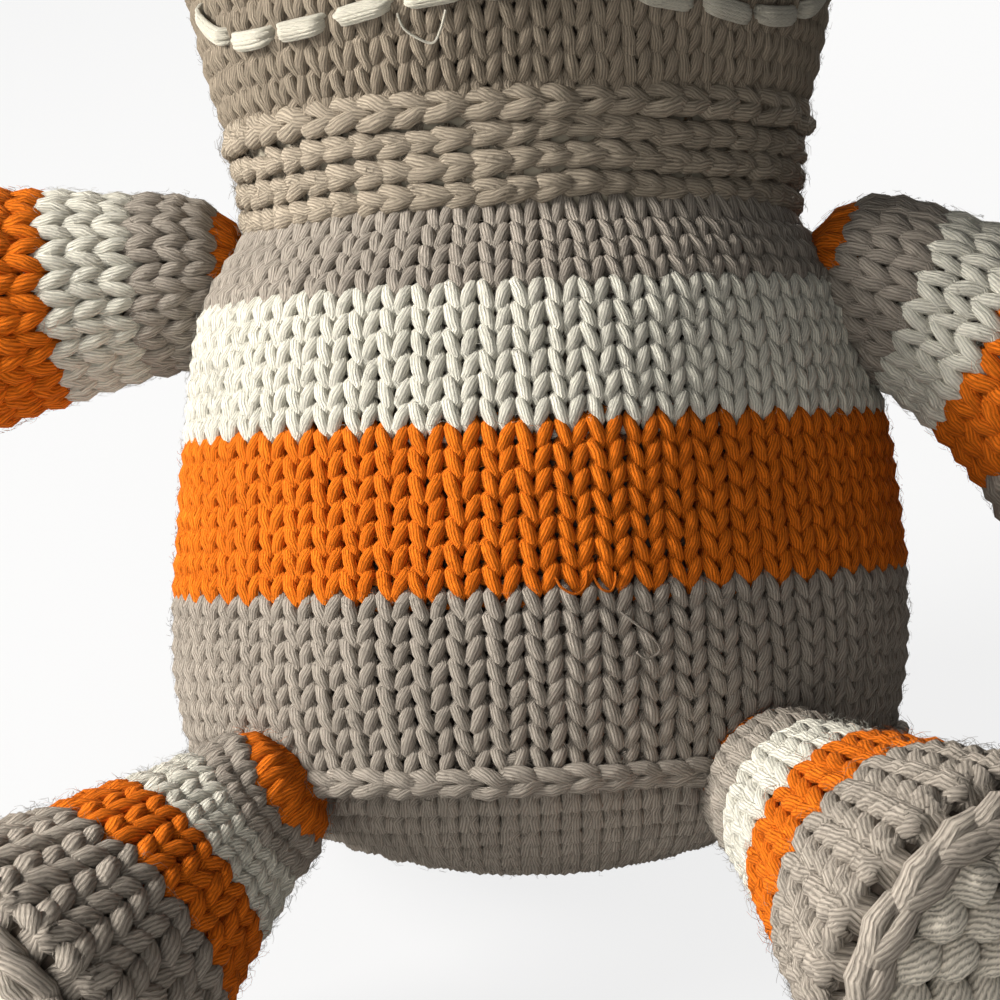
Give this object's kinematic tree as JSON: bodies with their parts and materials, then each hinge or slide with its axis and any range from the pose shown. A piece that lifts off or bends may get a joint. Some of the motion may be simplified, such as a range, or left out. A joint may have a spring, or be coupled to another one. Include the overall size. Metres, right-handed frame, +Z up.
{
  "type": "knitted rhino toy",
  "caption": "Hand-knitted stuffed rhino that sits and leans back, with a striped bell-shaped body, a round head with horns, and soft limbs, ears and tail that bend at their sewn roots.",
  "frame": {"origin": "the middle of the flat patch of the base that the toy sits on", "axes": "+Z up, the toy faces -Y, and its own left is +X"},
  "size_m": [0.1907, 0.1711, 0.1766],
  "materials": {
    "yarn_grey": "matte",
    "yarn_taupe": "matte",
    "yarn_orange": "matte",
    "yarn_white": "matte",
    "yarn_cream": "matte",
    "stuffing": "matte",
    "eye_plastic": "gloss",
    "washer_plastic": "satin"
  },
  "bodies": {
    "torso": {"torso_knit": "yarn_orange", "base_knit": "yarn_grey", "torso_stuffing": "stuffing", "neck_band_knit": "yarn_grey"},
    "head": {"head_knit": "yarn_taupe", "head_stuffing": "stuffing", "front_horn": "yarn_cream", "rear_horn": "yarn_cream", "mouth_stitch_1": "yarn_cream", "mouth_stitch_2": "yarn_cream", "mouth_stitch_3": "yarn_cream", "mouth_stitch_4": "yarn_cream", "mouth_stitch_5": "yarn_cream", "mouth_stitch_6": "yarn_cream", "mouth_stitch_7": "yarn_cream", "mouth_stitch_8": "yarn_cream", "mouth_stitch_9": "yarn_cream", "mouth_stitch_10": "yarn_cream", "mouth_stitch_11": "yarn_cream", "right_eye": "eye_plastic", "right_eye_washer": "washer_plastic", "left_eye": "eye_plastic", "left_eye_washer": "washer_plastic"},
    "right_ear": {"right_ear": "yarn_taupe"},
    "left_ear": {"left_ear": "yarn_taupe"},
    "right_arm": {"right_arm_knit": "yarn_grey", "right_arm_stuffing": "stuffing", "right_arm_sole": "yarn_taupe", "right_arm_sole_rim": "yarn_taupe"},
    "left_arm": {"left_arm_knit": "yarn_grey", "left_arm_stuffing": "stuffing", "left_arm_sole": "yarn_taupe", "left_arm_sole_rim": "yarn_taupe"},
    "right_leg": {"right_leg_knit": "yarn_grey", "right_leg_stuffing": "stuffing", "right_leg_sole": "yarn_taupe", "right_leg_sole_rim": "yarn_taupe"},
    "left_leg": {"left_leg_knit": "yarn_grey", "left_leg_stuffing": "stuffing", "left_leg_sole": "yarn_taupe", "left_leg_sole_rim": "yarn_taupe"},
    "tail": {"tail": "yarn_grey"}
  },
  "joints": [
    {"name": "neck_turn", "type": "hinge", "parent": "torso", "child": "head", "pos_m": [0, 0.00937, 0.0909], "axis": [0, 0.4266, 0.9045], "range_deg": [-35, 35], "stiffness_Nm_per_rad": 0.3},
    {"name": "right_ear_fold", "type": "hinge", "parent": "head", "child": "right_ear", "pos_m": [-0.03116, 0.04118, 0.1453], "axis": [-0.1736, -0.8907, 0.4201], "range_deg": [-30, 30], "stiffness_Nm_per_rad": 0.0015},
    {"name": "left_ear_fold", "type": "hinge", "parent": "head", "child": "left_ear", "pos_m": [0.03116, 0.04118, 0.1453], "axis": [0.1736, -0.8907, 0.4201], "range_deg": [-30, 30], "stiffness_Nm_per_rad": 0.0015},
    {"name": "right_shoulder", "type": "hinge", "parent": "torso", "child": "right_arm", "pos_m": [-0.04741, 0.00572, 0.07133], "axis": [-0.0349, -0.9039, 0.4263], "range_deg": [-45, 20], "stiffness_Nm_per_rad": 0.1},
    {"name": "left_shoulder", "type": "hinge", "parent": "torso", "child": "left_arm", "pos_m": [0.04713, -0.01098, 0.07262], "axis": [0.1045, 0.8995, -0.4242], "range_deg": [-45, 5], "stiffness_Nm_per_rad": 0.1},
    {"name": "right_hip", "type": "hinge", "parent": "torso", "child": "right_leg", "pos_m": [-0.0355, -0.05457, 0.03003], "axis": [0.5736, -0.7409, 0.3494], "range_deg": [-40, 25], "stiffness_Nm_per_rad": 0.1},
    {"name": "left_hip", "type": "hinge", "parent": "torso", "child": "left_leg", "pos_m": [0.02711, -0.06137, 0.03383], "axis": [0.8387, 0.4926, -0.2323], "range_deg": [-35, 25], "stiffness_Nm_per_rad": 0.1},
    {"name": "tail_swing", "type": "hinge", "parent": "torso", "child": "tail", "pos_m": [0, 0.02543, 0.01243], "axis": [0, 0.0131, -0.9999], "range_deg": [-35, 35], "stiffness_Nm_per_rad": 0.0015}
  ]
}
